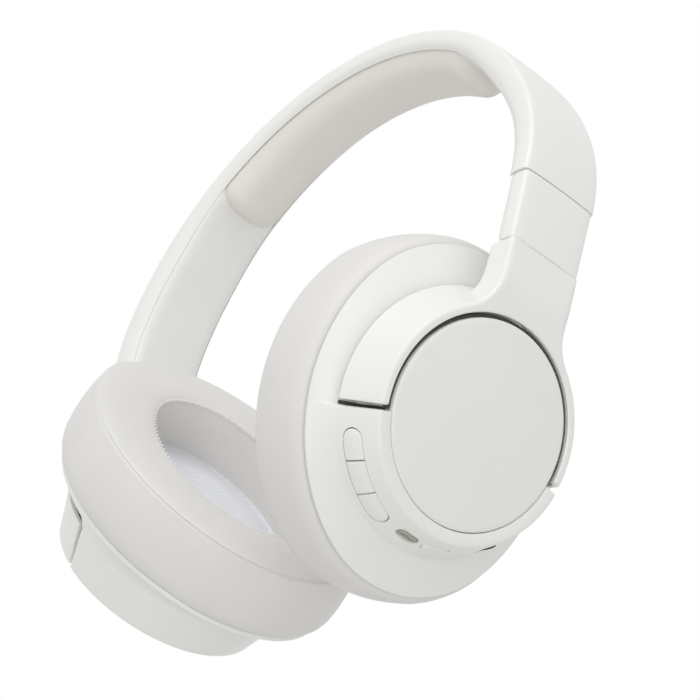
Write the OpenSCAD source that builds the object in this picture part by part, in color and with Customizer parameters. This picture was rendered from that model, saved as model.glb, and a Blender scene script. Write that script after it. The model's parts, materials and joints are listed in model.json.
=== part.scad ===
// Wireless over-ear headphones, millimetres, +Z up, standing on the lower rims of the ear cups.
// The wearer faces -Y. The right ear cup, which carries the controls, is at -X.

/* [Headband] */
// Outer radius over the crown of the head
crown_r = 87.5; // [84:0.5:92]
// Half the angle that the crown arc spans
crown_angle = 71; // [68:0.5:74]
// Outer radius of the shoulders, where the band turns down
shoulder_r = 52.6; // [48:0.2:58]
// How far the band's ends lean in past vertical
end_lean = 10; // [8:0.5:12]
// Width of the band, front to rear
band_w = 25.2; // [24:0.2:28]
// Thickness of the band at its ends
band_t = 9; // [8.6:0.1:10]
// Half the angle that the head pad spans
pad_angle = 52; // [44:1:58]

/* [Slider and hinge] */
// Length of the hinge block, between the slider seam and the fold seam
block_l = 21; // [20:0.5:24]
// How far each slider pulls out
slide_travel = 20; // [14:1:22]
// Diameter of the steel hinge pin
pin_d = 2.4; // [2:0.1:2.8]
// Diameter of the swivel stub on the knuckle
stub_d = 5; // [4:0.5:5.5]

/* [Ear cup] */
// Height of the cap centres above the surface that the cups stand on
cap_z = 31.75; // [30:0.05:36]
// Distance of each cap centre from the middle plane
cap_x = 62; // [61:0.5:66]
// How far each cup leans, bottoms together
cup_lean = 27.5; // [20:0.5:30]
// Radius of the round cap
cap_r = 27.5; // [26:0.5:28]
// Half the long axis of the oval rim
rim_r = 46.1; // [44:0.5:50]
// Half the short axis of the oval rim
rim_side = 40; // [39:0.2:42]
// How far the oval leans back at the top
cant = 17.6; // [0:0.5:25]
// Depth from the cap's face to the cushion's crown
cup_depth = 42.4; // [40:0.1:46]

/* [Yoke] */
// Outer radius of the yoke's face
yoke_r = 31.4; // [31:0.1:33]
// Depth of the yoke behind its face
yoke_depth = 13.2; // [11:0.1:13.4]
// Angle from straight up to the end of the rear arm
rear_arm = 104; // [96:1:110]
// Angle from straight up to the end of the front arm
front_arm = 93.5; // [90:0.5:100]
// Turn of the left cup about its stem, as it stands
left_swivel = 11; // [0:1:14]

/* [Driver] */
// Diameter of the driver's frame
driver_d = 40; // [30:1:42]

/* [Hidden] */
$fn = 96;
LEFT = 1;
RIGHT = -1;

wall = 2.2;                       // moulded wall
rim_wall = 2.6;                   // side walls of the band
rib_l = 2.4;                      // ribs inside the band, along it
gap = 0.3;                        // clearance between parts that move
snug = 0.1;                       // clearance between parts that are fixed
shell_white = "#f1f1ee";
inner_white = "#e6e5e1";
steel = "#b9bcc0";

// ---- Band: a crown arc and two shoulder arcs, tangent to each other
middle_y = 3.18;                  // centres the outline front to rear, since the left cup stands turned
apex_over_cap = 151;
crown_z = cap_z + apex_over_cap - crown_r;
shoulder_angle = 90 + end_lean - crown_angle;
shoulder_x = (crown_r - shoulder_r) * sin(crown_angle);
shoulder_z = crown_z + (crown_r - shoulder_r) * cos(crown_angle);
seam1 = [shoulder_x + shoulder_r * cos(end_lean), shoulder_z - shoulder_r * sin(end_lean)];
seam2 = [seam1[0] - block_l * sin(end_lean), seam1[1] - block_l * cos(end_lean)];

// ---- Slider: a steel strip, straight above the bend at the slider seam
block_w = 24.6;
strip_w = 12;
strip_t = 1;
strip_up = 28;                    // above the seam
strip_down = 12;                  // below the seam, inside the hinge block
strip_depth = 5.2;                // from the outer face to the strip's middle
slide_lean = 4.5;                 // the strip leans in at the top
guide_l = 9;
guide_w = 16;
guide_t = 3;
notch_step = 2;

// ---- Fold hinge and swivel
pin_r = pin_d / 2;
pin_edge = 3.8;                   // pin axis to the block's lower and inner faces
barrel_r = 3.4;
knuckle_w = 11.6;
slot_w = knuckle_w + 2 * gap;
stub_r = stub_d / 2;
stub_l = 13;
flange_r = 3.6;
flange_t = 2;
clip_r = stub_r + 0.9;            // spring clip on the stub's end
stub_z = band_t / 2;
run_fit = 0.05;                   // radial clearance of pins that turn

// ---- Cup frame, seen from the fold seam
limb_up = [sin(end_lean), cos(end_lean)];
limb_in = [-cos(end_lean), sin(end_lean)];
to_cap = [cap_x - seam2[0], cap_z - seam2[1]];
cap_drop = to_cap * limb_up;
cap_inset = to_cap * limb_in;

// ---- Yoke and cup profile
cap_gap = 1.4;
lip_r = cap_r + cap_gap;
flare_r = 35.4;                   // outer radius of yoke and drum at the back
neck_r = cap_r + 0.1;
shoulder_d = 14.2;                // depth where the drum ends and the dish begins
shoulder_in_r = 38.5;
rim_d = 19;                       // depth of the oval rim
pivot_d = 7;                      // depth of the tilt axis
pivot_r = 1.5;
arm_turn = (rear_arm - front_arm) / 2;
ring_rear = rear_arm + 5.7;
ring_front = front_arm + 3.5;
stem_w = 24.4;
stem_t = band_t;

// ---- Controls on the drum of the right cup, as angles from straight up towards the rear
rocker_from = 119;
rocker_to = 165;
rocker_cuts = [119, 133.6, 149.1, 165];
rocker_d0 = 5;
rocker_d1 = 10;
port_at = 176.8;
power_at = 193;
jack_at = 222;
charge_at = 245;
key_gap = 0.25;
key_turn = 0.7;                   // angle left free between keys
port_d = 6.4;                     // depths and sizes of the openings
port_w = 3.2;
port_l = 6.2;
power_d = 6.2;
power_w = 3.6;
power_l = 8.6;
jack_r = 3;
charge_t = 3.3;
charge_w = 9.1;

// ---- Frames of reference
module on_side(side) translate([0, -middle_y, 0]) mirror([side == RIGHT ? 1 : 0, 0, 0]) children();

// Along a limb: x up, y to the rear, z in towards the head, from the outer face at the fold seam
module limb(side) on_side(side) translate([seam2[0], 0, seam2[1]]) rotate([0, end_lean - 90, 0]) children();

// The limb turned about the swivel stub
module swivelled(side)
    limb(side) translate([0, 0, stub_z]) rotate([side == LEFT ? -left_swivel : 0, 0, 0])
        translate([0, 0, -stub_z]) children();

// In a cup: x up, y to the rear, z in, from the middle of the cap
module cup(side)
    swivelled(side) translate([cap_drop, 0, cap_inset]) rotate([0, cup_lean - end_lean, 0]) children();

module canted(side) cup(side) rotate([0, 0, cant]) children();

// ---- Shared shapes
// A bar section with x from -t to 0 and its corners rounded
module bar(t, w, r_out, r_in) difference() {
    translate([-t, -w / 2]) square([t, w]);
    for (s = [-1, 1]) {
        translate([-r_out, s * (w / 2 - r_out)]) corner(r_out, 1, s);
        translate([-t + r_in, s * (w / 2 - r_in)]) corner(r_in, -1, s);
    }
}

// What rounding takes off a corner that points to (x, y)
module corner(r, x, y) difference() {
    translate([x * r, y * r]) square(2 * r, center = true);
    circle(r = r);
}

// Sweeps a section about the Y axis, from angle a0 to a1 above +X
module arc_y(r, a0, a1) rotate([90, 0, 0]) rotate([0, 0, a0]) rotate_extrude(angle = a1 - a0)
    translate([r, 0]) children();

// The crown of the band, half its angle given
module crown(half) translate([0, -middle_y, crown_z]) arc_y(crown_r, 90 - half, 90 + half) children();

// A stretch of one shoulder, between two angles above its end
module shoulder(side, from, to)
    on_side(side) translate([shoulder_x, 0, shoulder_z])
        arc_y(shoulder_r, from - end_lean, to - end_lean) children();

// The whole band: the first child is its section, the second a rib's section that ties crown and shoulder
module along_band() union() {
    crown(crown_angle) children(0);
    for (side = [LEFT, RIGHT]) {
        shoulder(side, 0, shoulder_angle) children(0);
        at_joint(side) children(1);
    }
}

// A short straight stretch of a section, across the joint of crown and shoulder
module at_joint(side) on_side(side) translate([0, 0, crown_z]) rotate([90, 0, 0])
    rotate([0, 0, 90 - crown_angle]) translate([crown_r, 0, 0]) rotate([90, 0, 0])
        linear_extrude(rib_l, center = true) children();

// A sector about the cup's axis, of a section given as radius and depth
module sector(a0, a1) rotate([0, 0, a0]) rotate_extrude(angle = a1 - a0) children();

// A radial bore or pin in a cup
module radial(a, d) rotate([0, 0, a]) translate([0, 0, d]) rotate([0, 90, 0]) children();

// A slot with round ends, long in y
module slot(w, l, h) {
    translate([-w / 2, -(l - w) / 2, 0]) cube([w, l - w, h]);
    for (s = [-1, 1]) translate([0, s * (l - w) / 2, 0]) cylinder(d = w, h = h);
}

// A countersunk screw along +z, head at z = 0
module screw(d, l, head) {
    cylinder(d = d, h = l);
    cylinder(d1 = head, d2 = d, h = (head - d) / 2);
}

// ---- Headband
module band_section_hollow() difference() {
    bar(band_t, band_w, 2.6, 1.2);
    translate([-band_t - 1, -band_w / 2 + rim_wall]) square([band_t + 1 - wall, band_w - 2 * rim_wall]);
}

screw_d = 1.6;
screw_head = 2.8;
boss_r = 2;
band_screw_y = 8.5;
band_screw_up = 15;               // angle of the band screws above the shoulder's end line
// Where the band screws stand: +z points out through the band, from its inner face
module at_band_screws() for (side = [LEFT, RIGHT], s = [-1, 1])
    on_side(side) translate([shoulder_x, 0, shoulder_z]) rotate([0, -band_screw_up, 0])
        translate([shoulder_r - band_t, s * band_screw_y, 0]) rotate([0, 90, 0]) children();

module headband_shell() color(shell_white) difference() {
    union() {
        along_band() {
            band_section_hollow();
            translate([-wall - 1, -band_w / 2 + 1]) square([wall, band_w - 2]);
        }
        at_band_screws() translate([0, 0, lining_t + snug]) cylinder(r = boss_r, h = band_t - lining_t - 1);
    }
    at_band_screws() translate([0, 0, -1]) cylinder(d = screw_d, h = 6);
}

lining_w = band_w - 2 * rim_wall - 2 * snug;
lining_t = 1.6;
pad_recess = 3;
module lining_section(depth) translate([-depth, -lining_w / 2]) square([lining_t, lining_w]);
module lining_body() union() {
    crown(pad_angle + 1) lining_section(band_t - pad_recess);
    difference() {
        crown(crown_angle) lining_section(band_t);
        crown(pad_angle) translate([-band_t - 1, -band_w]) square([lining_t + 2, 2 * band_w]);
    }
    for (side = [LEFT, RIGHT]) {
        shoulder(side, 0, shoulder_angle) lining_section(band_t);
        at_joint(side) translate([-band_t + 0.5, -lining_w / 2 + 0.5]) square([lining_t, lining_w - 1]);
        on_side(side) translate([0, 0, crown_z]) arc_y(crown_r, 90 - pad_angle - 1.2, 90 - pad_angle - 0.2)
            translate([-band_t + 0.3, -lining_w / 2 + 0.3]) square([pad_recess + lining_t - 0.6, lining_w - 0.6]);
    }
}
module headband_lining() color(inner_white) difference() {
    lining_body();
    at_band_screws() {
        translate([0, 0, -1]) cylinder(d = screw_d + 0.4, h = 6);
        translate([0, 0, -0.2]) cylinder(d1 = screw_head + 0.8, d2 = screw_d + 0.4, h = 1.1);
    }
    for (side = [LEFT, RIGHT]) strip_frame(side)
        translate([1 - snug, -guide_w / 2 - snug, -guide_t / 2 - snug])
            cube([guide_l + 2 * snug, guide_w + 2 * snug, guide_t + 2 * snug]);
}

spring_depth = 3.2;
module headband_spring() color(steel) crown(crown_angle - 9)
    translate([-spring_depth - 0.4, -6]) square([0.8, 12]);

pad_t = 5.4;
module head_pad() color("#eeebe6") crown(pad_angle - 0.8)
    translate([-band_t + pad_recess - 0.2, 0]) bar(pad_t, lining_w - 0.6, 0.8, 2.4);

cable_r = 0.8;
module cross_cable() color("#3a3a3c") crown(crown_angle - 2)
    translate([-spring_depth, 8]) circle(r = cable_r);

module band_screws() color(steel) at_band_screws() screw(screw_d, 4.8, screw_head);

// Along the slider strip: x up, y to the rear, z in, from the strip's middle at the slider seam
module strip_frame(side) limb(side) translate([block_l, 0, strip_depth])
    rotate([0, -slide_lean - end_lean, 0]) children();

module slider_guide(side) color(inner_white) strip_frame(side) difference() {
    translate([1, -guide_w / 2, -guide_t / 2]) cube([guide_l, guide_w, guide_t]);
    translate([0, -strip_w / 2 - gap, -strip_t / 2 - gap]) cube([guide_l + 2, strip_w + 2 * gap, strip_t + 2 * gap]);
}

// ---- Slider: strip, hinge block, its cover, pin and screws
// Side view of the strip in the limb's x and z, mitred at the bend
bend = slide_lean + end_lean;
strip_half = strip_t / 2;
mitre = strip_half * tan(bend / 2);
strip_side = [
    [block_l - strip_down, strip_depth - strip_half],
    [block_l + mitre, strip_depth - strip_half],
    [block_l + strip_up * cos(bend) + strip_half * sin(bend), strip_depth + strip_up * sin(bend) - strip_half * cos(bend)],
    [block_l + strip_up * cos(bend) - strip_half * sin(bend), strip_depth + strip_up * sin(bend) + strip_half * cos(bend)],
    [block_l - mitre, strip_depth + strip_half],
    [block_l - strip_down, strip_depth + strip_half],
];
module slider_strip(side) color(steel) difference() {
    limb(side) rotate([90, 0, 0]) linear_extrude(strip_w, center = true) polygon(strip_side);
    strip_frame(side) for (x = [guide_l + 2 : notch_step : strip_up - 3], s = [-1, 1])
        translate([x, s * strip_w / 2, -1]) cylinder(r = 0.6, h = 2);
    limb(side) for (s = [-1, 1]) translate([block_l - 6, s * 3.6, 1]) cylinder(d = screw_d + 0.2, h = band_t);
}

block_top = block_l - gap;        // the block stops short of the band's end
pin_x = pin_edge;
pin_z = band_t - pin_edge;
// Everything that lies below the pin and inside the corner that turns about it
module hinge_corner() difference() {
    translate([-1, -band_w, pin_z]) cube([pin_x + 1, 2 * band_w, band_t]);
    translate([pin_x, 0, pin_z]) rotate([90, 0, 0]) cylinder(r = pin_edge, h = 2 * band_w, center = true);
}
cover_t = 1.6;
cover_w = block_w - 2 * rim_wall;
cover_x = 2 * pin_edge + 1.2;
module hinge_block(side) color(shell_white) limb(side) difference() {
    rotate([0, 90, 0]) linear_extrude(block_top) bar(band_t, block_w, 1.6, 2.4);
    hinge_corner();
    // room for the knuckle, open below and towards the head
    translate([-1, -slot_w / 2, pin_z - barrel_r - gap]) cube([pin_x + barrel_r + 1 + gap, slot_w, band_t]);
    // hollow behind the outer wall, closed by the cover
    translate([cover_x, -cover_w / 2, strip_depth - strip_t / 2]) cube([block_l, cover_w, band_t]);
    translate([pin_x, 0, pin_z]) rotate([90, 0, 0]) cylinder(r = pin_r, h = 18, center = true);
    for (s = [-1, 1]) translate([block_l - 6, s * 3.6, 2]) cylinder(d = screw_d, h = band_t);
}

module hinge_cover(side) color(inner_white) limb(side) difference() {
    translate([cover_x + snug, -cover_w / 2 + snug, strip_depth + strip_t / 2 + 0.1])
        cube([block_top - cover_x - snug, cover_w - 2 * snug, band_t - strip_depth - strip_t / 2 - 0.1]);
    for (s = [-1, 1]) translate([block_l - 6, s * 3.6, 0]) cylinder(d = 2.9, h = band_t + 1);
}

module hinge_pin(side) color(steel) limb(side) translate([pin_x, 0, pin_z]) rotate([90, 0, 0])
    cylinder(r = pin_r, h = 18, center = true);

module hinge_screws(side) color(steel) limb(side) for (s = [-1, 1])
    translate([block_l - 6, s * 3.6, strip_depth + strip_t / 2 + 1.1]) rotate([180, 0, 0])
        screw(screw_d, 4.6, 2.7);

// ---- Fold hinge knuckle with its swivel stub
module hinge_knuckle(side) color("#9a9c9f") difference() {
    union() {
        limb(side) translate([pin_x, 0, pin_z]) rotate([90, 0, 0])
            cylinder(r = barrel_r, h = knuckle_w, center = true);
        limb(side) translate([-gap, -knuckle_w / 2, stub_z - 2.3]) cube([pin_x + gap, knuckle_w, 5]);
        limb(side) translate([-gap - flange_t, 0, stub_z]) rotate([0, 90, 0])
            cylinder(r = flange_r, h = flange_t);
        limb(side) translate([-gap - stub_l, 0, stub_z]) rotate([0, 90, 0]) cylinder(r = stub_r, h = stub_l);
    }
    limb(side) translate([pin_x, 0, pin_z]) rotate([90, 0, 0])
        cylinder(r = pin_r + run_fit, h = 20, center = true);
    limb(side) translate([-gap - stub_l + 1, 0, stub_z]) rotate([0, 90, 0]) difference() {
        cylinder(r = stub_r + 1, h = 1);
        translate([0, 0, -1]) cylinder(r = stub_r - 0.6, h = 3);
    }
}

module swivel_clip(side) color(steel) swivelled(side) translate([-gap - stub_l + 1 + snug, 0, stub_z])
    rotate([0, 90, 0]) difference() {
        cylinder(r = clip_r, h = 0.8);
        translate([0, 0, -1]) cylinder(r = stub_r - 0.5, h = 3);
        translate([0, -1.5, -1]) cube([10, 3, 3]);
    }

// ---- Yoke: half ring round the cup and a stem up to the fold seam
ring_profile = [[lip_r, 0], [yoke_r - 0.6, 0], [yoke_r, 0.6], [flare_r, yoke_depth],
                [flare_r - wall, yoke_depth], [29.6 + 0.6, 1.8], [lip_r, 1.6]];
// Face of the stem, x up: concave fillets run from its sides into the ring
fillet_r = 14;
stem_len = 56;
fillet_y = stem_w / 2 + fillet_r;
fillet_x = sqrt(pow(yoke_r + fillet_r, 2) - pow(fillet_y, 2));
on_ring = yoke_r / (yoke_r + fillet_r);
module stem_face() difference() {
    polygon([for (s = [-1, 1]) each s < 0
        ? [[0, 0], [fillet_x * on_ring, -fillet_y * on_ring], [fillet_x, -stem_w / 2], [stem_len, -stem_w / 2]]
        : [[stem_len, stem_w / 2], [fillet_x, stem_w / 2], [fillet_x * on_ring, fillet_y * on_ring]]]);
    for (s = [-1, 1]) translate([fillet_x, s * fillet_y]) circle(r = fillet_r);
    circle(r = lip_r + 0.4);
}
stem_cavity_w = 13.6;
module yoke(side) color(shell_white) difference() {
    union() {
        cup(side) sector(-front_arm, rear_arm) polygon(ring_profile);
        intersection() {
            cup(side) linear_extrude(stem_t + 6) stem_face();
            // the stem lies within the limb's thickness at the seam and the yoke's plane below it
            union() {
                swivelled(side) translate([-18, -stem_w, 0]) cube([18, 2 * stem_w, stem_t]);
                cup(side) translate([0, -stem_w, 0]) cube([44, 2 * stem_w, stem_t]);
            }
            swivelled(side) translate([-80, -40, 0]) cube([80 - gap, 80, 60]);
        }
    }
    // bore and counterbore for the swivel stub
    swivelled(side) translate([-gap - flange_t - run_fit, 0, stub_z]) rotate([0, 90, 0])
        cylinder(r = flange_r + run_fit, h = 10);
    swivelled(side) translate([-gap - stub_l - 1, 0, stub_z]) rotate([0, 90, 0])
        cylinder(r = stub_r + run_fit, h = 30);
    // pocket for the clip, closed by the cover
    swivelled(side) translate([-15, -stem_cavity_w / 2, stub_z - clip_r - gap]) cube([4, stem_cavity_w, 20]);
    for (a = [90 + arm_turn, -90 + arm_turn])
        cup(side) radial(a, pivot_d) cylinder(r = pivot_r, h = 60);
}

module yoke_cover(side) color(inner_white) swivelled(side)
    translate([-15 + snug, -stem_cavity_w / 2 + snug, stub_z + 4.4])
        cube([4 - 2 * snug, stem_cavity_w - 2 * snug, 1.6]);

module pivot_pins(side) color(steel) cup(side)
    for (a = [90 + arm_turn, -90 + arm_turn])
        radial(a, pivot_d) translate([0, 0, 25.2]) cylinder(r = pivot_r, h = 7.4);

// ---- Ear cup
// The oval is four tangent arcs: round ends about (+-end_x, 0) and flatter sides about (0, +-side_y).
end_r = 36;
end_x = rim_r - end_r;
side_r = (end_x * end_x + rim_side * rim_side - end_r * end_r) / (2 * (rim_side - end_r));
side_y = side_r - rim_side;
end_half = atan2(side_y, end_x);

// Sweeps a section round the oval; its x is the distance outside the rim and its y the depth.
// The second child is a smaller section inside the first, which ties the arcs where they meet.
module oval_ring() union() for (turn = [0, 180]) rotate([0, 0, turn]) {
    translate([end_x, 0, 0]) rotate([0, 0, -end_half]) rotate_extrude(angle = 2 * end_half)
        translate([end_r, 0]) children(0);
    translate([0, -side_y, 0]) rotate([0, 0, end_half]) rotate_extrude(angle = 180 - 2 * end_half)
        translate([side_r, 0]) children(0);
    for (s = [-1, 1]) translate([end_x, 0, 0]) rotate([0, 0, s * end_half]) translate([end_r, 0, 0])
        rotate([90, 0, 0]) linear_extrude(rib_l, center = true) children(1);
}

// The oval as a flat shape, moved out from the rim by off
module oval_face(off) {
    tangent_x = end_x + (end_r + off) * cos(end_half);
    intersection() {
        for (s = [-1, 1]) intersection() {
            translate([0, s * side_y]) circle(r = side_r + off);
            translate([0, -s * side_y]) circle(r = side_r + off);
        }
        square([2 * tangent_x, 100], center = true);
    }
    for (s = [-1, 1]) translate([s * end_x, 0]) circle(r = end_r + off);
}

dish_profile = [[-13, shoulder_d + 0.7], [-6, shoulder_d + 0.7], [0, rim_d], [0, rim_d + 1.4],
                [-wall, rim_d + 1.4], [-wall - 0.4, rim_d + 0.4], [-7, shoulder_d + wall - 0.2],
                [-13, shoulder_d + wall - 0.2]];
drum_profile = [[neck_r + 0.15, 0.4], [neck_r + 0.5, 0], [yoke_r - 0.6, 0], [yoke_r, 0.6],
                [flare_r, yoke_depth - 0.6], [flare_r + 1.6, shoulder_d + 1.1],
                [flare_r - 0.6, shoulder_d + wall - 0.4], [flare_r - 2.6, yoke_depth],
                [yoke_r - wall, 2.9], [neck_r - 0.8, 3.1], [neck_r + 0.15, 2.2]];
module cup_housing(side) color(shell_white) difference() {
    union() {
        // neck and the floor under the cap
        cup(side) rotate_extrude() polygon([[0, 2.4], [neck_r, 2.4], [neck_r, shoulder_d + 0.4],
            [flare_r + 0.4, shoulder_d + 0.4], [flare_r + 0.4, shoulder_d + wall],
            [neck_r - wall, shoulder_d + wall], [neck_r - wall, 4], [0, 4]]);
        cup(side) for (a = [90 + arm_turn, -90 + arm_turn])
            radial(a, pivot_d) translate([0, 0, 23.8]) cylinder(r = 3.4, h = 3);
        canted(side) oval_ring() {
            polygon(dish_profile);
            translate([-wall + 0.3, rim_d + 0.2]) square([wall - 0.6, 1]);
        }
        cup(side) sector(ring_rear, 360 - ring_front) polygon(drum_profile);
        canted(side) at_cup_screws() translate([0, 0, baffle_t + snug]) cylinder(r = screw_d, h = 3);
    }
    canted(side) at_cup_screws() cylinder(d = screw_d, h = 4);
    for (a = [90 + arm_turn, -90 + arm_turn])
        cup(side) radial(a, pivot_d) cylinder(r = pivot_r + run_fit, h = 60);
    if (side == RIGHT) cup(side) {
        sector(rocker_from, rocker_to) translate([29, rocker_d0]) square([20, rocker_d1 - rocker_d0]);
        radial(port_at, port_d) translate([0, 0, 29]) slot(port_w, port_l, 20);
        radial(power_at, power_d) translate([0, 0, 29]) slot(power_w, power_l, 20);
        radial(jack_at, pivot_d) translate([0, 0, 12]) cylinder(r = jack_r + snug, h = 40);
        radial(charge_at, pivot_d) translate([-charge_t / 2 - snug, -charge_w / 2 - snug, 12])
            cube([charge_t + 2 * snug, charge_w + 2 * snug, 40]);
    }
}

dome_h = 0.9;                     // the cap is slightly domed
dome_steps = 6;
module cup_cap(side) color("#e9e9e5") cup(side) rotate_extrude()
    polygon(concat([[0, 2.3], [0, -dome_h]],
        [for (i = [1 : dome_steps]) let (u = i / dome_steps) [cap_r * u, dome_h * (u * u - 1)]],
        [[cap_r, 2.3]]));

// Where the four screws of the baffle stand, in the canted frame: +z points towards the cap
baffle_d = rim_d - 0.4;
baffle_t = 1.6;
cup_screw_at = 30.5;
module at_cup_screws() for (a = [45 : 90 : 315])
    rotate([0, 0, a]) translate([cup_screw_at, 0, baffle_d + baffle_t]) rotate([180, 0, 0]) children();

module baffle(side) color(inner_white) canted(side) difference() {
    translate([0, 0, baffle_d]) linear_extrude(baffle_t) oval_face(-wall - 2.2);
    translate([0, 0, 0]) cylinder(d = driver_d - 1, h = 40);
    at_cup_screws() {
        translate([0, 0, -1]) cylinder(d = screw_d + 0.3, h = 6);
        translate([0, 0, -0.2]) cylinder(d1 = screw_head + 0.8, d2 = screw_d + 0.3, h = 1.1);
    }
    for (a = [0 : 30 : 330]) rotate([0, 0, a + 15]) translate([24.6, 0, 0]) cylinder(r = 1.2, h = 40);
}

basket_d = baffle_d + 1.7;
module driver_basket(side) color("#2f3032") canted(side) difference() {
    translate([0, 0, basket_d]) rotate_extrude() polygon([[driver_d / 2, 0], [driver_d / 2, 3],
        [driver_d / 2 - 1.4, 3], [driver_d / 2 - 1.4, 1.2], [18.4, 1.2], [18.4, -1.9], [12.4, -5.4],
        [12.4, -6.8], [13.4, -6.8], [19.4, -2.9], [19.4, 0]]);
    for (a = [0 : 60 : 300]) rotate([0, 0, a]) translate([15.8, 0, 0]) cylinder(r = 2.1, h = 40);
}

module driver_magnet(side) color("#8f9196") canted(side) translate([0, 0, basket_d - 9.8])
    difference() {
        cylinder(r = 12.3, h = 7.8);
        translate([0, 0, 2]) difference() {
            cylinder(r = 9.6, h = 7);
            cylinder(r = 8.4, h = 7);
        }
    }

module driver_diaphragm(side) color("#d9dbe0") canted(side) translate([0, 0, basket_d - 1.5])
    rotate_extrude() polygon([[0, 3.4], [4.5, 3.0], [8.75, 1.7], [8.75, -2.4], [9.25, -2.4], [9.25, 1.85],
        [13.5, 3.2], [18.3, 3.0], [18.3, 3.3], [13.5, 3.5], [9, 2.1], [4.5, 3.3], [0, 3.7]]);

ring_d = rim_d + 1.8;
hole_in = -16.6;                  // the ear opening's outline, inside the rim's
module cushion_ring(side) color(inner_white) canted(side) translate([0, 0, ring_d]) difference() {
    linear_extrude(1.4) oval_face(-wall - 0.8);
    translate([0, 0, -1]) linear_extrude(4) oval_face(hole_in + 2);
}

cushion_d = ring_d + 1.5;
bulge = 1.7;                      // how far the cushion stands out past the rim
module ear_cushion(side) color("#ecebe8") canted(side) oval_ring() {
    polygon([[hole_in, cushion_d], [-wall - 0.6, cushion_d], [-wall - 0.6, ring_d], [0.5, ring_d],
             [bulge - 0.4, ring_d + 4], [bulge, ring_d + 8], [bulge - 0.4, cup_depth - 8],
             [0, cup_depth - 2.6], [-3, cup_depth - 0.8], [-7, cup_depth], [hole_in + 3, cup_depth],
             [hole_in + 0.6, cup_depth - 2]]);
    translate([hole_in + 2, cushion_d + 2]) square([-hole_in - 4, cup_depth - cushion_d - 6]);
}

cloth_d = 26;
module driver_cloth(side) color("#e4e7ec") canted(side) translate([0, 0, cloth_d])
    linear_extrude(0.9) oval_face(hole_in - 0.3);

module cup_screws(side) color(steel) canted(side) at_cup_screws() screw(screw_d, 3.6, screw_head);

// ---- Electrics
module battery() color("#6f7f92") cup(LEFT) translate([-17, -11.5, 4.4]) cube([21, 23, 4.2]);
module main_board() color("#2f6b46") cup(RIGHT) difference() {
    translate([0, 0, 5]) cylinder(r = 22.5, h = 1.2);
    translate([-30, -30, 0]) cube([16, 60, 20]);
    radial(jack_at, pivot_d) translate([0, 0, 12]) cylinder(r = jack_r + gap, h = 40);
}
module button_board() color("#2f6b46") cup(RIGHT)
    sector(rocker_from - 4, power_at + 6) translate([27.9, 4.4]) square([0.9, 6.4]);

module key(a0, a1, d0, d1) sector(a0 + key_turn, a1 - key_turn) polygon([[29.8, d0 + key_gap],
    [33.2, d0 + key_gap], [34.7, d1 - key_gap], [29.8, d1 - key_gap]]);
module rocker_key(i) color(shell_white) cup(RIGHT) key(rocker_cuts[i], rocker_cuts[i + 1], rocker_d0, rocker_d1);
module volume_up_button() rocker_key(0);
module multifunction_button() rocker_key(1);
module volume_down_button() rocker_key(2);
module power_button() color(shell_white) cup(RIGHT) radial(power_at, power_d) translate([0, 0, 29.8])
    slot(power_w - 2 * key_gap, power_l - 2 * key_gap, 3.9);
module microphone_port() color("#8d8b78") cup(RIGHT) radial(port_at, port_d) translate([0, 0, 29.4])
    difference() {
        slot(port_w - 2 * snug, port_l - 2 * snug, 4);
        translate([0, 0, 2]) slot(port_w - 0.9, port_l - 0.9, 4);
        cylinder(r = 0.4, h = 10);
    }
jack_bore_r = 1.75;
jack_l = 14;
jack_mouth = 33;
module jack_socket() color("#3a3a3c") cup(RIGHT) radial(jack_at, pivot_d)
    translate([0, 0, jack_mouth - jack_l - 1]) difference() {
        cylinder(r = jack_r, h = jack_l + 1);
        translate([0, 0, 1]) cylinder(r = jack_bore_r, h = jack_l + 1);
    }
module charging_socket() color(steel) cup(RIGHT) radial(charge_at, pivot_d)
    translate([-charge_t / 2, -charge_w / 2, 24.6]) difference() {
        cube([charge_t, charge_w, 8]);
        translate([0.35, 0.35, 1]) cube([charge_t - 0.7, charge_w - 0.7, 8]);
    }

headband_shell();
headband_lining();
headband_spring();
head_pad();
band_screws();
cross_cable();
slider_guide(LEFT);  // slider_guide_left
slider_guide(RIGHT);  // slider_guide_right
slider_strip(LEFT);  // slider_strip_left
slider_strip(RIGHT);  // slider_strip_right
hinge_block(LEFT);  // hinge_block_left
hinge_block(RIGHT);  // hinge_block_right
hinge_cover(LEFT);  // hinge_cover_left
hinge_cover(RIGHT);  // hinge_cover_right
hinge_pin(LEFT);  // hinge_pin_left
hinge_pin(RIGHT);  // hinge_pin_right
hinge_screws(LEFT);  // hinge_screws_left
hinge_screws(RIGHT);  // hinge_screws_right
hinge_knuckle(LEFT);  // hinge_knuckle_left
hinge_knuckle(RIGHT);  // hinge_knuckle_right
yoke(LEFT);  // yoke_left
yoke(RIGHT);  // yoke_right
yoke_cover(LEFT);  // yoke_cover_left
yoke_cover(RIGHT);  // yoke_cover_right
swivel_clip(LEFT);  // swivel_clip_left
swivel_clip(RIGHT);  // swivel_clip_right
pivot_pins(LEFT);  // pivot_pins_left
pivot_pins(RIGHT);  // pivot_pins_right
cup_housing(LEFT);  // cup_housing_left
cup_housing(RIGHT);  // cup_housing_right
cup_cap(LEFT);  // cup_cap_left
cup_cap(RIGHT);  // cup_cap_right
baffle(LEFT);  // baffle_left
baffle(RIGHT);  // baffle_right
driver_basket(LEFT);  // driver_basket_left
driver_basket(RIGHT);  // driver_basket_right
driver_magnet(LEFT);  // driver_magnet_left
driver_magnet(RIGHT);  // driver_magnet_right
driver_diaphragm(LEFT);  // driver_diaphragm_left
driver_diaphragm(RIGHT);  // driver_diaphragm_right
cushion_ring(LEFT);  // cushion_ring_left
cushion_ring(RIGHT);  // cushion_ring_right
ear_cushion(LEFT);  // ear_cushion_left
ear_cushion(RIGHT);  // ear_cushion_right
driver_cloth(LEFT);  // driver_cloth_left
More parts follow.
